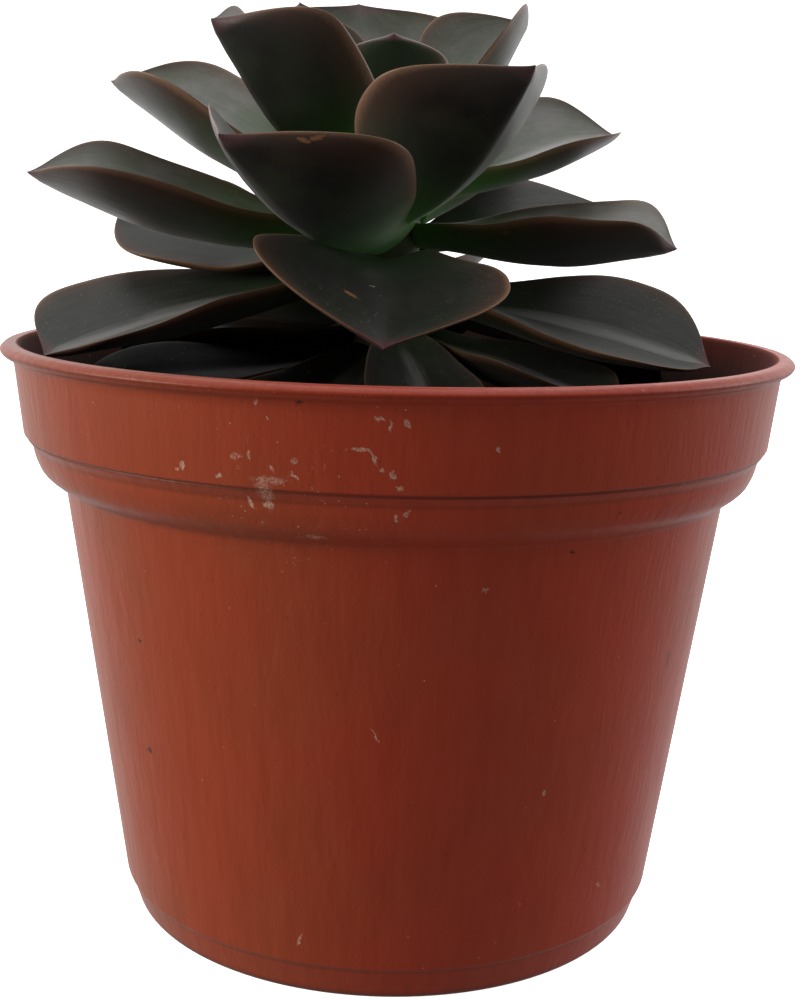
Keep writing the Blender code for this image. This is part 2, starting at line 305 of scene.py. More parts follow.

# Colours, linear
# First, the pot's colour where painted light from the left falls on it
POT_WARM_LIT = (0.290, 0.060, 0.0195)
POT_DEEP = (0.430, 0.043, 0.0145)
POT_STREAK = (0.74, 0.66, 0.62)
POT_BLOOM = (0.48, 0.100, 0.055)
# Next: the colour of the dark marks, also used for painted shade in the groove, along the step and round
# the foot
POT_DIRT_AND_SHADE = (0.045, 0.016, 0.010)
# Next: a soil stain and painted shade on the inner wall
POT_STAIN_AND_SHADE = (0.22, 0.26, 0.36)
LIME = (0.56, 0.35, 0.26)
LIP_SHADE = (0.70, 0.58, 0.44)
LIP_DUST = (0.40, 0.18, 0.09)
UNDER_DARK = (0.0075, 0.0070, 0.0045)
UNDER_OLIVE = (0.016, 0.022, 0.008)
UNDER_RED = (0.034, 0.014, 0.009)
TOP_GREEN = (0.062, 0.072, 0.050)
TOP_GREY = (0.115, 0.112, 0.106)
# Colours of the painted highlight along the channel; the last is painted shade for the oldest leaves
WAXY_HIGHLIGHT = (0.420, 0.403, 0.397)
DULL_HIGHLIGHT = (0.170, 0.168, 0.164)
OLD_CHANNEL_SHADE = (0.022, 0.022, 0.020)
BASE_GREEN = (0.042, 0.120, 0.018)
OLD_SHADE = (0.15, 0.15, 0.14)
# Tints of the leaf tops: painted light on the heart and waxy leaves, painted shade on the dull and old ones
WAXY_LIGHT_TINT = (1.40, 1.36, 1.34)
DULL_SHADE_TINT = (0.20, 0.205, 0.18)
HEART_SHADE = (0.50, 0.53, 0.46)
# A painted glow, standing in for light shining through the leaf bases
BASE_GLOW = (0.003, 0.014, 0.001)
BLACK = (0.0, 0.0, 0.0)
MARGIN_TAN = (0.215, 0.112, 0.062)
MARGIN_RED = (0.070, 0.030, 0.017)
TIP_PURPLE = (0.085, 0.026, 0.030)
DUST = (0.42, 0.41, 0.38)
SCAR_CORK = (0.30, 0.130, 0.050)
# Dark peat, also used as painted shade low down inside the pot
PEAT_DARK_AND_SHADE = (0.010, 0.007, 0.005)
PEAT_BROWN = (0.034, 0.021, 0.013)
PEAT_FIBRE = (0.085, 0.052, 0.028)
PERLITE = (0.62, 0.60, 0.56)
STEM_YOUNG = (0.060, 0.095, 0.030)
STEM_WOOD = (0.070, 0.042, 0.024)
STEM_SCAR = (0.120, 0.080, 0.045)
PAPER = (0.86, 0.86, 0.86)
WHITE = (1.0, 1.0, 1.0)
WARM_WHITE = (1.0, 0.95, 0.88)

# Leaf skins, from the heart outwards: name, gloss, sheen, tint of the top with its painted light and shade,
# colour of the channel's painted highlight, relief
SKINS = [
    ("leaf_heart_skin", 0.3, 0.06, WAXY_LIGHT_TINT, WAXY_HIGHLIGHT, 0.14),
    ("leaf_waxy_lit_skin", 0.5, 0.2, WAXY_LIGHT_TINT, WAXY_HIGHLIGHT, 0.14),
    ("leaf_dull_shaded_skin", 0.14, 0.04, DULL_SHADE_TINT, DULL_HIGHLIGHT, 0.22),
    ("leaf_old_shaded_skin", 0.03, 0.0, DULL_SHADE_TINT, OLD_CHANNEL_SHADE, 0.14),
]

# Studio, in metres: the floor, the bend behind it and the wall above the bend
FLOOR_SIZE = 2.4
BEND_RADIUS = 0.35
BEND_STEPS = 10
WALL_HEIGHT = 1.2

# The room's light, brightest the way that AIR_BRIGHT_WAY points
AIR_BRIGHT_WAY = (0.0, 0.85, 0.5)
AIR_DIM_FROM = -0.2
AIR_DIM = 0.24
AIR_BRIGHT = 1.4

# Soft lights: name, place and target in metres, size in metres, power in watts, colour
LIGHTS = [
    ("top_light", (0.0, 0.15, 0.95), (0.0, 0.0, 0.1), 0.9, 4.2, WHITE),
    ("left_light", (-0.75, -0.2, 0.3), (0.0, 0.0, 0.08), 0.45, 5.2, WARM_WHITE),
    ("right_light", (0.8, 0.15, 0.3), (0.0, 0.0, 0.08), 0.45, 2.0, WHITE),
]


# Modelling helpers

def deselect_all():
    bpy.ops.object.select_all(action="DESELECT")


def only(thing):
    """Makes one object the selected and active one."""
    deselect_all()
    thing.select_set(True)
    bpy.context.view_layer.objects.active = thing


def smooth(thing):
    only(thing)
    bpy.ops.object.shade_smooth()


def edit_all():
    """Enters edit mode with everything selected."""
    bpy.ops.object.mode_set(mode="EDIT")
    bpy.ops.mesh.select_all(action="SELECT")


def leave_facing_out():
    """Turns every face outwards and leaves edit mode."""
    bpy.ops.mesh.select_all(action="SELECT")
    bpy.ops.mesh.normals_make_consistent(inside=False)
    bpy.ops.object.mode_set(mode="OBJECT")


def name_new(name):
    thing = bpy.context.object
    thing.name = name
    thing.data.name = name
    return thing


def pick(thing, wanted):
    """Selects, in edit mode, the vertices whose place is wanted."""
    shape = bmesh.from_edit_mesh(thing.data)
    for vert in shape.verts:
        vert.select_set(wanted(vert.co))
    shape.select_flush_mode()
    bmesh.update_edit_mesh(thing.data)


def apply_all(thing):
    """Applies the object's modifiers in order."""
    only(thing)
    for modifier in list(thing.modifiers):
        bpy.ops.object.modifier_apply(modifier=modifier.name)


def copy_of(thing, name):
    """A copy with its own mesh."""
    twin = thing.copy()
    twin.data = thing.data.copy()
    twin.name = name
    twin.data.name = name
    bpy.context.scene.collection.objects.link(twin)
    return twin


def bake_place(thing):
    """Puts the object's place, turn and scale into its mesh."""
    only(thing)
    bpy.ops.object.transform_apply(location=True, rotation=True, scale=True)


def join(things, name):
    deselect_all()
    for thing in things:
        thing.select_set(True)
    bpy.context.view_layer.objects.active = things[0]
    bpy.ops.object.join()
    return name_new(name)


def finish_piece(thing, material, nodes):
    thing.data.materials.clear()
    thing.data.materials.append(material)
    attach(thing, "root")
    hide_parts(*nodes)


def rounded(corners):
    """The corners of a profile with their roundings, each a short curve between its two sides."""
    points = []
    last = len(corners) - 1
    for i, (radius, height, rounding) in enumerate(corners):
        here = Vector((radius, height))
        if i in (0, last) or rounding == 0:
            points.append(here)
            continue
        before = Vector(corners[i - 1][:2]) - here
        after = Vector(corners[i + 1][:2]) - here
        start = here + before.normalized() * min(rounding, before.length * ROUNDING_LIMIT)
        end = here + after.normalized() * min(rounding, after.length * ROUNDING_LIMIT)
        for step in range(ROUNDING_STEPS + 1):
            t = step / ROUNDING_STEPS
            points.append(start * (1 - t) ** 2 + here * 2 * t * (1 - t) + end * t * t)
    return points


def turned(name, profile, around, centre=(0.0, 0.0)):
    """A closed round body: a disc at the first ring, then extruded and resized ring by ring."""
    deselect_all()
    x, y = centre[0] * MM, centre[1] * MM
    radius, height = profile[0]
    bpy.ops.mesh.primitive_circle_add(vertices=around, radius=radius * MM, fill_type="NGON",
                                      location=(x, y, height * MM))
    body = name_new(name)
    bake_place(body)
    edit_all()
    for next_radius, next_height in profile[1:]:
        rise = (next_height - height) * MM
        bpy.ops.mesh.extrude_region_move(TRANSFORM_OT_translate={"value": (0.0, 0.0, rise)})
        growth = next_radius / radius
        bpy.ops.transform.resize(value=(growth, growth, 1.0), center_override=(x, y, next_height * MM))
        radius, height = next_radius, next_height
    leave_facing_out()
    return body


def write_attribute(thing, name, values):
    attribute = thing.data.attributes.new(name, "FLOAT_VECTOR", "POINT")
    attribute.data.foreach_set("vector", np.ascontiguousarray(values, np.float32).ravel())


def read_attribute(thing, name):
    values = np.zeros(len(thing.data.vertices) * 3, np.float32)
    thing.data.attributes[name].data.foreach_get("vector", values)
    return values.reshape(-1, 3).astype(float)


def read_points(thing):
    points = np.zeros(len(thing.data.vertices) * 3)
    thing.data.vertices.foreach_get("co", points)
    return points.reshape(-1, 3)


# Materials

class Wire:
    """A number that varies over a surface. Sums and products of it are Math nodes."""

    def __init__(self, paint, socket):
        self.paint = paint
        self.socket = socket

    def __add__(self, other):
        return self.paint.math("ADD", self, other)

    __radd__ = __add__

    def __sub__(self, other):
        return self.paint.math("SUBTRACT", self, other)

    def __rsub__(self, other):
        return self.paint.math("SUBTRACT", other, self)

    def __mul__(self, other):
        return self.paint.math("MULTIPLY", self, other)

    __rmul__ = __mul__

    def __truediv__(self, other):
        return self.paint.math("DIVIDE", self, other)

    def __rtruediv__(self, other):
        return self.paint.math("DIVIDE", other, self)

    def __pow__(self, other):
        return self.paint.math("POWER", self, other)

    def __abs__(self):
        return self.paint.math("ABSOLUTE", self)


class Paint:
    """A material in the making: one shader, and the nodes that feed it."""

    def __init__(self, name, **constants):
        self.material = bpy.data.materials.new(name)
        self.material.use_nodes = True
        self.nodes = self.material.node_tree.nodes
        self.links = self.material.node_tree.links
        self.shader = self.nodes["Principled BSDF"]
        for socket, value in constants.items():
            self.set(self.shader.inputs[socket.replace("_", " ")], value)

    def set(self, socket, value):
        if isinstance(value, Wire):
            self.links.new(value.socket, socket)
        elif socket.type == "RGBA":
            socket.default_value = (*value, 1.0)
        else:
            socket.default_value = value

    def add(self, kind, settings, values, output=0):
        """Adds a node: its settings first, then its values or links. Gives one of its outputs."""
        node = self.nodes.new(kind)
        for name, setting in settings.items():
            setattr(node, name, setting)
        for name, value in values.items():
            self.set(node.inputs[name], value)
        return Wire(self, node.outputs[output])

    def math(self, operation, *terms):
        return self.add("ShaderNodeMath", {"operation": operation}, dict(enumerate(terms)))

    def vector(self, operation, *terms, output=0):
        return self.add("ShaderNodeVectorMath", {"operation": operation}, dict(enumerate(terms)), output)

    def place(self):
        """The point's place on the object, in millimetres."""
        here = self.add("ShaderNodeTexCoord", {}, {}, "Object")
        return self.vector("MULTIPLY", here, (1000.0, 1000.0, 1000.0))

    def attribute(self, name):
        return self.add("ShaderNodeAttribute", {"attribute_name": name}, {}, "Vector")

    def split(self, wire):
        node = self.nodes.new("ShaderNodeSeparateXYZ")
        self.links.new(wire.socket, node.inputs[0])
        return [Wire(self, output) for output in node.outputs]

    def bundle(self, x, y, z):
        return self.add("ShaderNodeCombineXYZ", {}, {0: x, 1: y, 2: z})

    def ease(self, wire, low, high):
        """Smooth step from 0 at low to 1 at high, which may be the smaller of the two."""
        return self.add("ShaderNodeMapRange", {"interpolation_type": "SMOOTHSTEP"},
                        {0: wire, 1: low, 2: high, 3: 0.0, 4: 1.0})

    def cloud(self, where, scale, detail, rough):
        """Soft noise about 0.5; scale is in patches per unit of where."""
        return self.add("ShaderNodeTexNoise", {}, {"Vector": where, "Scale": scale, "Detail": detail,
                                                   "Roughness": rough})

    def cells(self, where, scale):
        """Distance to the nearest of scattered points, in cell widths."""
        return self.add("ShaderNodeTexVoronoi", {}, {"Vector": where, "Scale": scale}, "Distance")

    def cell_tone(self, where, scale):
        """A random tone for each cell."""
        return self.add("ShaderNodeTexVoronoi", {}, {"Vector": where, "Scale": scale}, "Color")

    def mix(self, share, one, other):
        """One colour turning into another as share goes from 0 to 1."""
        return self.add("ShaderNodeMix", {"data_type": "RGBA"}, {0: share, 6: one, 7: other}, 2)

    def tint(self, share, one, other):
        """One colour multiplied by another, as far as share says."""
        return self.add("ShaderNodeMix", {"data_type": "RGBA", "blend_type": "MULTIPLY"},
                        {0: share, 6: one, 7: other}, 2)

    def bump(self, height, depth):
        """Relief from a height between 0 and 1, depth in millimetres."""
        return self.add("ShaderNodeBump", {}, {"Height": height, "Distance": depth * MM, "Strength": 1.0})

    def wear(self, **varying):
        """Feeds the shader's own sockets with what varies over the surface, and gives the material."""
        for socket, wire in varying.items():
            self.set(self.shader.inputs[socket.replace("_", " ")], wire)
        return self.material


def pot_paint():
    """Satin terracotta-coloured plastic: flow streaks, painted shade in the grooves and on the inner wall,
    painted light on the left side, lime and dark marks.
    """
    paint = Paint("pot_terracotta_plastic", IOR=1.45, Specular_IOR_Level=0.3, Sheen_Weight=0.04,
                  Sheen_Roughness=0.4)
    place = paint.place()
    x, y, z = paint.split(place)
    streak_place = paint.vector("MULTIPLY", place, (0.55, 0.55, 0.035))
    streaks = paint.cloud(streak_place, 1.0, 3.5, 0.55)
    broad = paint.cloud(place, 0.045, 2.0, 0.5)
    grain = paint.cloud(place, 2.2, 3.0, 0.6)
    # Painted light: the left side, where the left light falls, is painted a warmer orange, with broad
    # random changes of tone
    left_light_and_tone = 0.75 * paint.ease(0.0 - x, -12.0, 42.0) + 0.25 * paint.ease(broad, 0.65, 0.35)
    colour = paint.mix(left_light_and_tone, POT_DEEP, POT_WARM_LIT)
    colour = paint.tint(0.25 * paint.ease(streaks, 0.45, 0.72), colour, POT_STREAK)
    colour = paint.mix(0.08 * paint.ease(streaks, 0.52, 0.30), colour, POT_BLOOM)
    colour = paint.tint(0.15 * paint.ease(grain, 0.5, 0.75), colour, POT_STREAK)

    # Painted shade in the groove, along the step, round the foot and under the base
    groove = 1.0 - paint.ease(abs(z - GROOVE_HEIGHT), 0.1, 0.26)
    step = 1.0 - paint.ease(abs(z - STEP_HEIGHT), 0.1, 0.4)
    foot = 1.0 - paint.ease(abs(z - FOOT_HEIGHT), 0.15, 0.5)
    base = 1.0 - paint.ease(z, 0.2, 1.6)
    crease_shade = paint.math("MAXIMUM", groove, 0.3 * step)
    crease_shade = paint.math("MAXIMUM", crease_shade, paint.math("MAXIMUM", 0.4 * foot, base))
    radius = paint.vector("LENGTH", paint.bundle(x, y, 0.0), output="Value")
    outside = paint.ease(radius, 34.0, 40.5)
    colour = paint.mix(0.6 * crease_shade * outside, colour, POT_DIRT_AND_SHADE)

    # Painted shade and a soil stain darken the inner wall, and painted shade in the dark peat colour
    # blackens it below the lip and at the back
    taper, flare, shelf, band = [start + slope * (z - level) for start, slope, level in MID_WALL]
    low_wall = paint.math("MAXIMUM", taper, flare)
    high_wall = paint.math("MINIMUM", shelf, band)
    half_wall = paint.math("MINIMUM", low_wall, high_wall)
    inside = paint.ease(half_wall - radius, -0.2, 0.3) * paint.ease(z, 62.0, 64.0)
    colour = paint.tint(0.9 * inside, colour, POT_STAIN_AND_SHADE)
    deep_shade = 1.0 - paint.ease(z + 3.0 * (broad - 0.5), 81.0, 88.0)
    deep_shade = inside * paint.math("MAXIMUM", deep_shade, paint.ease(y, 32.0, 48.0))
    colour = paint.mix(0.9 * deep_shade, colour, PEAT_DARK_AND_SHADE)

    # The lip is darkened with painted shade and is dusty, and lime and dark marks lie on the wall
    lip = paint.ease(z, 86.9, 87.5) * paint.ease(radius, 57.4, 58.0)
    dust = paint.ease(paint.cloud(place, 3.0, 3.0, 0.7), 0.60, 0.70)
    colour = paint.tint(lip, colour, LIP_SHADE)
    colour = paint.mix(0.4 * lip * dust, colour, LIP_DUST)
    crust = paint.ease(paint.cloud(place, 3.4, 3.0, 0.7), 0.42, 0.58)
    bent = wobbled(paint, place)
    pale = pot_marks(paint, bent, "pale") * (0.35 + 0.65 * crust)
    smear = pot_marks(paint, bent, "smear") * (0.12 + 0.5 * crust)
    marks = paint.math("MAXIMUM", pale, smear)
    patch = paint.math("MAXIMUM", lime_patch(paint, place, x, y, z), marks)
    colour = paint.mix(patch, colour, LIME)
    dark_specks = 0.7 * scattered(paint, place, 0.6, 0.10, 0.15)
    dark = paint.math("MAXIMUM", pot_marks(paint, bent, "dark"), dark_specks)
    colour = paint.mix(0.85 * dark, colour, POT_DIRT_AND_SHADE)
    rough = 0.40 + 0.16 * (streaks - 0.5) + 0.12 * (grain - 0.5) + 0.25 * patch + 0.6 * inside
    ripples = paint.cloud(paint.vector("MULTIPLY", place, (1.0, 1.0, 0.22)), 1.1, 2.0, 0.5)
    relief = 0.3 * grain + 0.2 * streaks + 0.5 * ripples
    return paint.wear(Base_Color=colour, Roughness=rough, Normal=paint.bump(relief, 0.11))


def scattered(paint, place, scale, size, share):
    """Small spots, in a chosen share of the cells of a Voronoi pattern; size is in cell widths."""
    near = paint.cells(place, scale)
    tone = paint.split(paint.cell_tone(place, scale))[0]
    return (1.0 - paint.ease(near, 0.4 * size, size)) * paint.ease(tone, 1.0 - share, 1.02 - share)


def lime_patch(paint, place, x, y, z):
    """Clumps of lime specks, thick round one place on the front wall, and sparse specks elsewhere."""
    squeezed = paint.bundle(x, y, z * LIME_SQUEEZE)
    off_middle = paint.vector("DISTANCE", squeezed, LIME_PLACE, output="Value")
    near = 1.0 - paint.ease(off_middle, 3.0, 17.0)
    clumps = paint.ease(paint.cloud(place, 0.36, 4.0, 0.75) + 0.12 * near, 0.68, 0.78)
    crust = paint.ease(paint.cloud(place, 3.4, 3.0, 0.7), 0.50, 0.62)
    short = paint.bundle(x * 0.9 + z * 0.25, y, z * 0.22)
    scratches = 1.0 - paint.ease(abs(paint.cloud(short, 1.6, 2.0, 0.5) - 0.5), 0.004, 0.016)
    specks = paint.math("MAXIMUM", scattered(paint, place, 0.9, 0.13, 0.04),
                        near * scattered(paint, place, 1.2, 0.2, 0.1))
    return paint.math("MAXIMUM", 0.85 * specks, (0.85 * crust + 0.2 * scratches) * clumps * near)


def wobbled(paint, place):
    """The place with a small uneven shift, which frays the edges of the marks."""
    shift = paint.add("ShaderNodeTexNoise", {}, {"Vector": place, "Scale": 1.3, "Detail": 2.0}, "Color")
    corner = paint.vector("ADD", place, (-0.65, -0.65, -0.65))
    return paint.vector("MULTIPLY_ADD", shift, (1.3, 1.3, 1.3), corner)


def pot_marks(paint, place, kind):
    """The soft-edged mask of all marks of one kind on the outer wall."""
    nearest = 9.0
    for heading, height, half_width, half_height, lean, its_kind in POT_MARKS:
        if its_kind != kind:
            continue
        turn = radians(heading)
        wall = wall_radius(height)
        own = paint.add("ShaderNodeMapping", {"vector_type": "TEXTURE"}, {
            "Vector": place,
            "Location": (wall * cos(turn), wall * sin(turn), height),
            "Rotation": (0.0, radians(-lean), turn + pi / 2),
            "Scale": (half_width, 1.5, half_height)})
        nearest = paint.math("MINIMUM", nearest, paint.vector("LENGTH", own, output="Value"))
    return 1.0 - paint.ease(nearest, 0.55, 1.1)


def wall_radius(height):
    """The pot's outer radius at a height on its wall or band."""
    heights = [corner[1] for corner in reversed(OUTER_WALL)]
    radii = [corner[0] for corner in reversed(OUTER_WALL)]
    return float(np.interp(height, heights, radii))


def leaf_paint(name, gloss, sheen, top_light_tint, channel_highlight, relief_depth):
    """Leaf skin: dark olive below, grey bloom above, a tan margin, a purple tip, a green base with a
    painted glow, and painted light and shade.

    gloss and sheen are its shine; the tint of the top multiplies the colour of its upper side, painting
    light on the upper leaves and shade on the low ones; the channel's colour is that of a painted highlight
    along it, dark painted shade on the oldest leaves; and relief_depth is in millimetres.
    """
    paint = Paint(name, IOR=1.45, Specular_IOR_Level=gloss, Sheen_Weight=sheen, Sheen_Roughness=0.45,
                  Emission_Strength=1.0)
    place = paint.place()
    across, along, up = paint.split(paint.attribute("leaf_place"))
    age, phase, grime = paint.split(paint.attribute("leaf_life"))
    sideways = abs(across)
    lengthwise = paint.bundle(across * 7.0, along * 3.0, phase * 40.0)
    streaks = paint.cloud(lengthwise, 1.0, 4.0, 0.6)
    blotches = paint.cloud(place, 0.16, 3.0, 0.55)
    grain = paint.cloud(place, 2.6, 3.0, 0.6)
    above = paint.ease(up, -0.05, 0.35)
    old = paint.ease(age, 0.62, 0.82)
    oldest = paint.ease(age, 0.84, 0.95)
    heart = 1.0 - paint.ease(age, 0.0, 0.08)

    # The underside, then the top with its bloom, painted shade and a painted highlight along its channel,
    # then the green base, then painted shade on the heart and on the old low leaves
    olive = paint.ease(blotches + 0.4 * streaks - 0.25 * along, 0.34, 0.70)
    below = paint.mix(olive, UNDER_DARK, UNDER_OLIVE)
    red = paint.ease(0.5 * sideways + 0.6 * along + 0.5 * (blotches - 0.5) + 0.15 * phase, 0.72, 1.20)
    below = paint.mix(0.8 * red, below, UNDER_RED)
    bloom = paint.ease(0.6 * blotches + 0.4 * streaks - 0.10 * age, 0.36, 0.62)
    top = paint.mix(bloom, TOP_GREEN, TOP_GREY)
    # Painted light on the tops of the heart and waxy leaves, painted shade on the tops of the dull and old
    # ones
    top = paint.tint(1.0, top, top_light_tint)
    top = paint.tint(1.0 - paint.ease(age, 0.16, 0.28), top, HEART_SHADE)
    # Painted highlight along the channel of the upper leaves; on the oldest leaves its colour is dark,
    # painted shade
    channel = 1.0 - paint.ease(sideways + 0.4 * (streaks - 0.5), 0.0, 0.24)
    channel = channel * paint.ease(along, 0.15, 0.4) * paint.ease(age, 0.14, 0.28)
    channel = channel * (0.15 + 0.85 * paint.ease(abs(age - DROOPING_AGE), 0.01, 0.03))
    top = paint.mix(0.8 * channel, top, channel_highlight)
    colour = paint.mix(above, below, top)
    young = 1.0 - paint.ease(along + 0.2 * (streaks - 0.5) + 0.35 * age, 0.12, 0.80)
    young = young * (1.0 - 0.6 * paint.ease(age, 0.36, 0.55))
    colour = paint.mix(young + 0.25 * heart, colour, BASE_GREEN)
    colour = paint.tint(heart, colour, HEART_SHADE)
    # Painted shade darkens the old low leaves, most of all the oldest
    colour = paint.tint(0.9 * old * (1.0 - 0.5 * above) + 0.4 * oldest * above, colour, OLD_SHADE)
    colour = paint.tint(0.7 * oldest, colour, OLD_SHADE)

    # The margin and the tip; the margin fades on the old low leaves, in their painted shade
    rim = 1.0 - paint.ease(abs(up) + 0.16 * (grain - 0.5), 0.08, 0.36)
    blush = 1.0 - paint.ease(abs(up) + 0.2 * (blotches - 0.5), 0.22, 0.78)
    away = paint.ease(along, 0.05, 0.2)
    colour = paint.mix((0.7 - 0.55 * old) * blush * away, colour, MARGIN_RED)
    colour = paint.mix((0.85 - 0.65 * old) * rim * away, colour, MARGIN_TAN)
    tip = paint.ease(along + 0.04 * (grain - 0.5), 0.945, 1.0)
    colour = paint.mix(0.8 * tip, colour, TIP_PURPLE)

    # Dust, soil and the single marks
    chosen = paint.ease(paint.cloud(place, 0.22, 2.0, 0.6) + 0.12 * age, 0.48, 0.62)
    large_specks = scattered(paint, place, 1.1, 0.17, 0.2)
    specks = paint.math("MAXIMUM", large_specks, scattered(paint, place, 2.0, 0.26, 0.12))
    specks = specks * chosen * (0.2 + 0.8 * above)
    colour = paint.mix(0.28 * specks, colour, DUST)
    colour = leaf_grime(paint, place, across, above, grime, colour)
    scars = 0.0
    for middle, way, half_length, half_width, tone in LEAF_MARKS:
        mark = leaf_mark(paint, place, grain, middle, way, half_length, half_width)
        colour = paint.mix(0.85 * mark, colour, SCAR_CORK if tone == "cork" else DUST)
        scars = mark + scars
    rough = 0.42 + 0.20 * (blotches - 0.5) + 0.08 * above + 0.15 * specks + 0.2 * scars
    relief = 0.5 * blotches + 0.15 * grain + 0.35 * streaks
    # Painted light: the bases of the younger leaves glow green, standing in for light shining through them
    lit = (1.0 - paint.ease(along, 0.05, 0.60)) * (1.0 - paint.ease(age, 0.34, 0.5))
    glow = paint.mix(lit, BLACK, BASE_GLOW)
    return paint.wear(Base_Color=colour, Roughness=rough, Emission_Color=glow,
                      Normal=paint.bump(relief, relief_depth))


def leaf_grime(paint, place, across, above, grime, colour):
    """Crumbs of soil along the near margin of the leaves that lie low."""
    crumbs = 1.0 - paint.ease(paint.cells(place, 1.5), 0.14, 0.26)
    edge = paint.ease(0.0 - across, 0.35, 0.9)
    thick = paint.ease(paint.cloud(place, 0.5, 2.0, 0.6) + 0.15 * edge, 0.50, 0.62)
    return paint.mix(grime * crumbs * edge * thick * above, colour, PEAT_DARK_AND_SHADE)


def leaf_mark(paint, place, grain, middle, way, half_length, half_width):
    """The soft-edged mask of one mark, longer along its way than across it."""
    offset = paint.vector("SUBTRACT", place, middle)
    lengthways = Vector(way).normalized()
    run = paint.vector("DOT_PRODUCT", offset, tuple(lengthways), output="Value")
    whole = paint.vector("DOT_PRODUCT", offset, offset, output="Value")
    off_line = paint.math("MAXIMUM", whole - run * run, 0.0) / half_width ** 2
    reach = (run * run / half_length ** 2 + off_line) ** 0.5
    return 1.0 - paint.ease(reach + 1.6 * (grain - 0.5), 0.55, 1.05)


def soil_paint():
    """Peat compost: near-black crumbs with fibres, and white grains of perlite."""
    paint = Paint("potting_soil_peat", IOR=1.4)
    place = paint.place()
    kind = paint.split(paint.attribute("crumb_kind"))[0]
    lumps = paint.cloud(place, 0.5, 5.0, 0.7)
    grain = paint.cloud(place, 3.5, 4.0, 0.7)
    colour = paint.mix(paint.ease(lumps, 0.35, 0.7), PEAT_DARK_AND_SHADE, PEAT_BROWN)
    colour = paint.mix(0.5 * paint.ease(grain, 0.55, 0.8), colour, PEAT_FIBRE)
    colour = paint.mix(paint.ease(kind, 0.90, 0.92), colour, PERLITE)
    rough = 0.85 + 0.2 * (grain - 0.5)
    relief = 0.5 * lumps + 0.5 * grain
    return paint.wear(Base_Color=colour, Roughness=rough, Normal=paint.bump(relief, 0.5))


def stem_paint():
    """Thick stalk: brown and woody low down, green under the heart, ringed by old leaf scars."""
    paint = Paint("stem_green_bark", IOR=1.45)
    place = paint.place()
    x, y, z = paint.split(place)
    bark = paint.cloud(paint.vector("MULTIPLY", place, (1.0, 1.0, 0.35)), 0.9, 5.0, 0.65)
    rings = paint.cloud(paint.bundle(x * 0.15, y * 0.15, z), 0.8, 3.0, 0.6)
    wood = 1.0 - paint.ease(z + 14.0 * (bark - 0.5), 86.0, 104.0)
    colour = paint.mix(wood, STEM_YOUNG, STEM_WOOD)
    colour = paint.mix(0.5 * paint.ease(rings, 0.52, 0.68), colour, STEM_SCAR)
    rough = 0.6 + 0.2 * (bark - 0.5)
    return paint.wear(Base_Color=colour, Roughness=rough, Normal=paint.bump(0.6 * bark + 0.4 * rings, 0.35))


# Pot

def build_pot(material):
    """The turned shell, with its drain holes cut by cylinders."""
    pot = turned("pot_shell", rounded(POT_CORNERS), POT_AROUND)
    cutters = [drain_cutter(i) for i in range(DRAIN_HOLES)]
    cutter = join(cutters, "drain_cutters")
    only(pot)
    bpy.ops.object.modifier_add(type="BOOLEAN")
    boolean = pot.modifiers[-1]
    boolean.operation = "DIFFERENCE"
    boolean.solver = "EXACT"
    boolean.object = cutter
    apply_all(pot)
    bpy.data.objects.remove(cutter, do_unlink=True)
    only(pot)
    bpy.ops.object.shade_smooth_by_angle(angle=radians(SMOOTH_ANGLE))
    finish_piece(pot, material, ["pot"])


def drain_cutter(i):
    deselect_all()
    turn = 2 * pi * i / DRAIN_HOLES
    place = Vector((DRAIN_CIRCLE * cos(turn), DRAIN_CIRCLE * sin(turn), 0.0)) * MM
    bpy.ops.mesh.primitive_cylinder_add(vertices=DRAIN_AROUND, radius=DRAIN_RADIUS * MM,
                                        depth=2 * DRAIN_REACH * MM, location=place)
    cutter = name_new("drain_cutter")
    bake_place(cutter)
    return cutter


# Soil

def soil_height(radius):
    radii = [point[0] for point in reversed(SOIL_CROWN)]
    heights = [point[1] for point in reversed(SOIL_CROWN)]
    return float(np.interp(radius, radii, heights))


def build_soil(material):
    """A plug that fits the pot, lumpy on top, and loose crumbs pressed into its surface."""
    profile = list(SOIL_SIDE)
    for ring in range(SOIL_RINGS):
        radius = SOIL_TOP_RADIUS * (1 - ring / SOIL_RINGS)
        profile.append((radius, soil_height(radius)))
    soil = turned("soil_plug", profile, SOIL_AROUND)
    lump_soil(soil)
    smooth(soil)
    crumbs = build_crumbs()
    piece = join([soil, crumbs], "soil_and_crumbs")
    finish_piece(piece, material, ["soil"])


def lump_soil(soil):
    """Raises and sinks the top by soft noise, less towards the wall."""
    for vert in soil.data.vertices:
        place = vert.co / MM
        radius = place.xy.length
        if place.z < LUMPS_ABOVE or radius > LUMPS_WITHIN:
            continue
        lumps = noise.fractal(place * LUMP_SCALE, 1.0, 2.0, 4)
        fade = min(1.0, (LUMP_FADE_END - radius) / LUMP_FADE_OVER)
        vert.co.z += (LUMP_HEIGHT * lumps * fade) * MM


def crumb_blanks():
    """Rough crumbs, each pushed out of round in its own way."""
    blanks = []
    for i in range(CRUMB_BLANKS):
        deselect_all()
        bpy.ops.mesh.primitive_ico_sphere_add(subdivisions=2, radius=MM)
        blank = name_new(f"crumb_blank_{i}")
        edit_all()
        bpy.ops.transform.vertex_random(offset=CRUMB_DENTS * MM, uniform=0.0, normal=0.0,
                                        seed=CRUMB_SEED + i)
        bpy.ops.transform.resize(value=CRUMB_SHAPE)
        bpy.ops.object.mode_set(mode="OBJECT")
        blanks.append(blank)
    return blanks


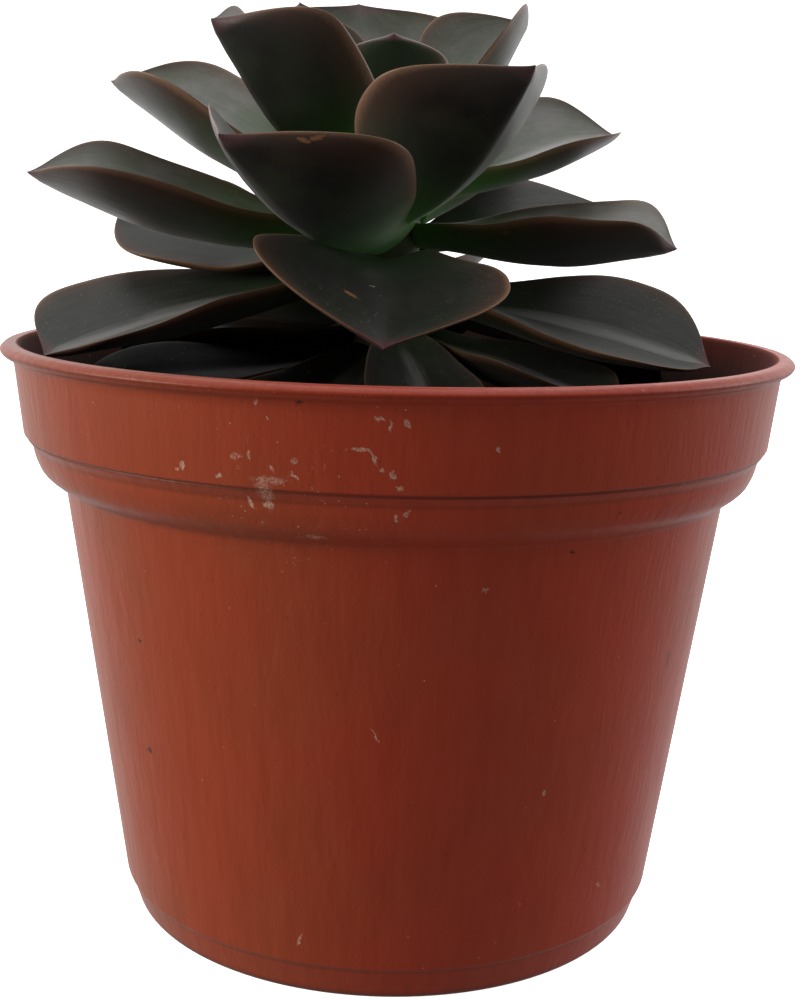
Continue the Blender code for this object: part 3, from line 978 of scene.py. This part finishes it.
def build_crumbs():
    """Copies of the blanks, scattered evenly over the soil, with more small ones than large ones."""
    blanks = crumb_blanks()
    chance = np.random.default_rng(CRUMB_SEED)
    crumbs = []
    for i in range(CRUMBS):
        radius = CRUMB_REACH * np.sqrt(chance.uniform(CRUMB_NEAREST, 1.0))
        heading = chance.uniform(0.0, 2 * pi)
        size = CRUMB_RADIUS + CRUMB_GAIN * chance.random() ** 2
        crumb = copy_of(blanks[i % CRUMB_BLANKS], f"crumb_{i:03d}")
        spin = Matrix.Rotation(chance.uniform(0, 2 * pi), 4, "Z")
        spin = spin @ Matrix.Rotation(chance.uniform(0, pi), 4, "X")
        height = soil_height(radius) + CRUMB_LIFT * size
        place = Vector((radius * cos(heading), radius * sin(heading), height)) * MM
        crumb.data.transform(Matrix.Translation(place) @ spin @ Matrix.Scale(size, 4))
        tones = np.full((len(crumb.data.vertices), 3), chance.random(), np.float32)
        write_attribute(crumb, "crumb_kind", tones)
        crumbs.append(crumb)
    for blank in blanks:
        bpy.data.objects.remove(blank, do_unlink=True)
    return join(crumbs, "soil_crumbs")


# Leaves

def smooth_step(share):
    share = np.clip(share, 0.0, 1.0)
    return share * share * (3 - 2 * share)


def build_leaf_blank():
    """A ball laid along +Y from root to tip, which every leaf starts as a copy of.

    Each point keeps where it is on a leaf: across from -1 to 1 between the margins, along from root to
    tip, and up from -1 on the underside to 1 on the upper side.
    """
    deselect_all()
    bpy.ops.mesh.primitive_uv_sphere_add(segments=LEAF_AROUND, ring_count=LEAF_RINGS, radius=1.0)
    blank = name_new("leaf_blank")
    edit_all()
    bpy.ops.transform.rotate(value=pi / 2, orient_axis="X", center_override=(0.0, 0.0, 0.0))
    bpy.ops.object.mode_set(mode="OBJECT")
    points = read_points(blank)
    ring = np.hypot(points[:, 0], points[:, 2])
    turn = np.arctan2(points[:, 2], points[:, 0])
    along = ROOT_START + (POINT_END - ROOT_START) * (points[:, 1] + 1) / 2
    pole = ring < POLE_RING
    across = np.where(pole, 0.0, np.cos(turn))
    up = np.where(pole, 0.0, np.sin(turn))
    write_attribute(blank, "leaf_place", np.stack([across, along, up], 1))
    return blank


class Growth:
    """The line that one leaf grows along, and the leaf's sections on it."""

    def __init__(self, row, number, root_radius=ROOT_RADIUS, plump=1.0):
        (self.heading, self.turn, self.height, self.rise_root, self.rise_tip, self.length, self.width,
         self.fold, self.roll, self.blunt) = row
        self.number = number
        self.plump = plump
        self.phase = (number * GOLDEN_TURN) % 1.0
        self.stations = np.linspace(ROOT_START * 2, POINT_END + STATIONS_BEYOND, STATIONS)
        self.line = self.trace(root_radius)

    def headings(self, along):
        return np.radians(self.heading + self.turn * along)

    def ways(self, along):
        """Unit vectors along the midrib."""
        rise = np.radians(self.rise_root + (self.rise_tip - self.rise_root) * along)
        heading = self.headings(along)
        return np.stack([np.cos(rise) * np.cos(heading), np.cos(rise) * np.sin(heading), np.sin(rise)], 1)

    def trace(self, root_radius):
        """Points of the midrib at the stations, summed step by step, with its root where the stem is."""
        middles = (self.stations[1:] + self.stations[:-1]) / 2
        steps = self.ways(middles) * np.diff(self.stations)[:, None] * self.length
        line = np.concatenate([np.zeros((1, 3)), np.cumsum(steps, 0)])
        at_root = np.array([np.interp(0.0, self.stations, line[:, axis]) for axis in range(3)])
        turn = radians(self.heading)
        root = np.array([STEM_X + root_radius * cos(turn), root_radius * sin(turn), self.height])
        return line - at_root + root

    def midrib(self, along):
        return np.stack([np.interp(along, self.stations, self.line[:, axis]) for axis in range(3)], 1)

    def reach(self, along):
        """Half width: a narrow root that swells to the widest place and closes to a small spine."""
        inner = ROOT_SHARE + (1 - ROOT_SHARE) * smooth_step(along / WIDEST_AT)
        closing = np.clip((along - WIDEST_AT) / (1 - WIDEST_AT), 0.0, 1.0)
        outer = 1 - closing ** self.blunt
        at_point = 1 - ((POINT_FROM - WIDEST_AT) / (1 - WIDEST_AT)) ** self.blunt
        left = np.clip((POINT_END - along) / (POINT_END - POINT_FROM), 0.0, 1.0)
        spine = at_point * left ** SPINE_TAPER
        share = np.where(along < WIDEST_AT, inner, np.where(along < POINT_FROM, outer, spine))
        waves = np.sin(2 * pi * (UNEVEN_COUNT * along + UNEVEN_SHIFT * self.phase))
        uneven = 1 + UNEVEN_SHARE * waves
        rounding = np.sqrt(np.clip(1 - (1 - (along - ROOT_START) / ROOT_ROUND).clip(0, 1) ** 2, 0, 1))
        return share * uneven * rounding * self.width / 2

    def thickness(self, along):
        """How far the leaf reaches below the line of its midrib."""
        swell = (THICK_BELLY - THICK_ROOT) * smooth_step(along / SWELL_BY)
        thin = (THICK_BELLY - THICK_TIP) * smooth_step((along - THIN_FROM) / (1 - THIN_FROM))
        left = np.clip((POINT_END - along) / (POINT_END - POINT_FROM), 0.0, 1.0)
        return self.plump * (THICK_ROOT + swell - thin) * left ** SPINE_THINNING

    def skin(self, across, along, up):
        """Places of the leaf's skin, in millimetres."""
        way = self.ways(along)
        heading = self.headings(along)
        level = np.stack([-np.sin(heading), np.cos(heading), np.zeros_like(heading)], 1)
        upright = np.cross(way, level)
        roll = (radians(self.roll) * smooth_step(along / ROLL_BY))[:, None]
        side = level * np.cos(roll) + upright * np.sin(roll)
        face = upright * np.cos(roll) - level * np.sin(roll)
        reach = self.reach(along)
        fold = radians(self.fold)
        lift = np.abs(across) ** FOLD_CURVE * reach * sin(fold)
        lift += up * self.thickness(along) * np.where(up > 0, CROWN_SHARE, 1.0)
        lift += self.small_forms(across, along, up)
        return self.midrib(along) + side * (across * reach * cos(fold))[:, None] + face * lift[:, None]

    def small_forms(self, across, along, up):
        """Keel below, channel above and slow waves of the margin, which the solid leaves out."""
        body = smooth_step(along / FORMS_FULL_BY) * smooth_step((1.0 - along) / FORMS_FADE_OVER)
        keel_height = KEEL_HEIGHT * (HEART_KEEL_SHARE if self.number < FIRST_BROAD_LEAF else 1.0)
        keel = keel_height * np.exp(-np.abs(across) / KEEL_WIDTH) * smooth_step(along / KEEL_BY)
        channel = CHANNEL_DEPTH * np.exp(-(across / CHANNEL_WIDTH) ** 2)
        relief = np.where(up > 0, -channel * up, keel * up) * body
        side_phase = np.where(across > 0, WAVE_SIDE_SHIFT, 0.0)
        wave = np.sin(2 * pi * (WAVE_COUNT * along + self.phase + side_phase))
        return relief + WAVE_HEIGHT * wave * np.abs(across) ** WAVE_CURVE * body


def lay_leaf(blank, name, growth, age):
    """A copy of the blank, bent along its own growing line."""
    leaf = copy_of(blank, name)
    across, along, up = read_attribute(leaf, "leaf_place").T
    places = growth.skin(across, along, up) * MM
    leaf.data.vertices.foreach_set("co", places.ravel())
    leaf.data.update()
    count = len(leaf.data.vertices)
    grime = GRIME.get(growth.number, 0.0)
    write_attribute(leaf, "leaf_life", np.tile([age, growth.phase, grime], (count, 1)))
    only(leaf)
    edit_all()
    leave_facing_out()
    smooth(leaf)
    return leaf


def build_leaves(blank, skins):
    """One leaf for each row, each with the skin of its ring."""
    for number, row in enumerate(LEAVES, start=1):
        age = (number - 1) / (len(LEAVES) - 1)
        skin = sum(number >= first for first in SKIN_CHANGES)
        leaf = lay_leaf(blank, f"echeveria_leaf_{number:02d}", Growth(row, number), age)
        finish_piece(leaf, skins[skin], [f"leaf_{number:02d}"])


def younger(pair, share):
    """A value of the bud's leaves, from the oldest at share 0 to the youngest at share 1."""
    return pair[0] + pair[1] * share


def build_bud(blank, material):
    """The youngest leaves, each turned from the last by the golden angle."""
    leaves = []
    for i in range(BUD_LEAVES):
        share = i / (BUD_LEAVES - 1)
        row = (BUD_HEADING + GOLDEN_ANGLE * i, 0, younger(BUD_HEIGHT, share), younger(BUD_RISE, share),
               BUD_TIP_RISE, younger(BUD_LENGTH, share), younger(BUD_WIDTH, share), BUD_FOLD, 0,
               BUD_BLUNTNESS)
        growth = Growth(row, BUD_FIRST_NUMBER + i, younger(BUD_ROOT_RADIUS, share), BUD_PLUMPNESS)
        leaves.append(lay_leaf(blank, f"bud_leaf_{i}", growth, 0.0))
    bud = join(leaves, "heart_bud")
    finish_piece(bud, material, ["stem"])


def build_stem(material):
    """The stalk, turned with knuckles where the leaves stand."""
    profile = list(STEM_BASE)
    for ring in range(STEM_RINGS + 1):
        height = KNUCKLED_FROM + (KNUCKLED_TO - KNUCKLED_FROM) * (ring / STEM_RINGS)
        knuckle = sum(rise * sin(2 * pi * height / spacing) for rise, spacing in KNUCKLES)
        profile.append((KNUCKLED_RADIUS + knuckle, height))
    profile += STEM_CAP
    stem = turned("stem_stalk", profile, STEM_AROUND, (STEM_X, 0.0))
    smooth(stem)
    finish_piece(stem, material, ["stem"])


# Studio: camera, floor and lights

def build_camera():
    bpy.ops.object.camera_add(location=(0.0, -CAMERA_BACK * MM, CAMERA_HEIGHT * MM))
    camera = name_new("camera")
    pitch = Matrix.Rotation(radians(90 - CAMERA_PITCH), 4, "X")
    roll = Matrix.Rotation(radians(CAMERA_ROLL), 4, "Z")
    camera.rotation_euler = (pitch @ roll).to_euler()
    camera.data.sensor_fit = "VERTICAL"
    camera.data.sensor_height = CAMERA_SENSOR
    camera.data.sensor_width = CAMERA_SENSOR
    camera.data.lens = CAMERA_LENS
    camera.data.shift_x = CAMERA_SHIFT
    camera.data.clip_start = CAMERA_CLIP * MM
    camera.data.dof.use_dof = False
    bpy.context.scene.camera = camera


def build_floor():
    """A pale sheet that runs back from the pot and curves up behind it."""
    deselect_all()
    bpy.ops.mesh.primitive_plane_add(size=FLOOR_SIZE, location=(0.0, 0.0, 0.0))
    floor = name_new("studio_floor")
    bpy.ops.object.mode_set(mode="EDIT")
    pick(floor, lambda co: co.y > FLOOR_SIZE / 2 - MM)
    back = 0.0
    up = 0.0
    for step in range(1, BEND_STEPS + 1):
        angle = pi / 2 * step / BEND_STEPS
        next_back = BEND_RADIUS * sin(angle)
        next_up = BEND_RADIUS * (1 - cos(angle))
        move = (0.0, next_back - back, next_up - up)
        bpy.ops.mesh.extrude_region_move(TRANSFORM_OT_translate={"value": move})
        back = next_back
        up = next_up
    bpy.ops.mesh.extrude_region_move(TRANSFORM_OT_translate={"value": (0.0, 0.0, WALL_HEIGHT)})
    leave_facing_out()
    smooth(floor)
    paint = Paint("studio_paper", Base_Color=PAPER, Roughness=0.9, Emission_Color=WHITE,
                  Emission_Strength=1.0)
    floor.data.materials.append(paint.material)
    floor.visible_glossy = False
    floor.visible_diffuse = False


def soft_light(name, place, target, size, power, colour):
    """A square soft light."""
    bpy.ops.object.light_add(type="AREA", location=place)
    light = bpy.context.object
    light.name = name
    light.data.shape = "SQUARE"
    light.data.size = size
    light.data.energy = power
    light.data.color = colour
    way = Vector(target) - Vector(place)
    light.rotation_euler = way.to_track_quat("-Z", "Y").to_euler()


def build_air():
    """The room's light: dim in front of the pot and bright behind it."""
    world = bpy.data.worlds.new("studio_air")
    bpy.context.scene.world = world
    world.use_nodes = True
    nodes = world.node_tree.nodes
    links = world.node_tree.links
    coordinate = nodes.new("ShaderNodeTexCoord")
    facing = nodes.new("ShaderNodeVectorMath")
    facing.operation = "DOT_PRODUCT"
    facing.inputs[1].default_value = AIR_BRIGHT_WAY
    spread = nodes.new("ShaderNodeMapRange")
    spread.interpolation_type = "SMOOTHSTEP"
    spread.inputs["From Min"].default_value = AIR_DIM_FROM
    spread.inputs["To Min"].default_value = AIR_DIM
    spread.inputs["To Max"].default_value = AIR_BRIGHT
    links.new(coordinate.outputs["Generated"], facing.inputs[0])
    links.new(facing.outputs["Value"], spread.inputs["Value"])
    links.new(spread.outputs["Result"], nodes["Background"].inputs["Strength"])
    nodes["Background"].inputs["Color"].default_value = (*WHITE, 1.0)


def build_studio():
    build_camera()
    build_floor()
    for light in LIGHTS:
        soft_light(*light)
    build_air()
    bpy.context.scene.view_settings.view_transform = "Standard"
    bpy.context.scene.view_settings.look = "None"


def main():
    build_studio()
    skins = [leaf_paint(*skin) for skin in SKINS]
    build_pot(pot_paint())
    build_soil(soil_paint())
    build_stem(stem_paint())
    blank = build_leaf_blank()
    build_leaves(blank, skins)
    build_bud(blank, skins[0])
    bpy.data.objects.remove(blank, do_unlink=True)


main()
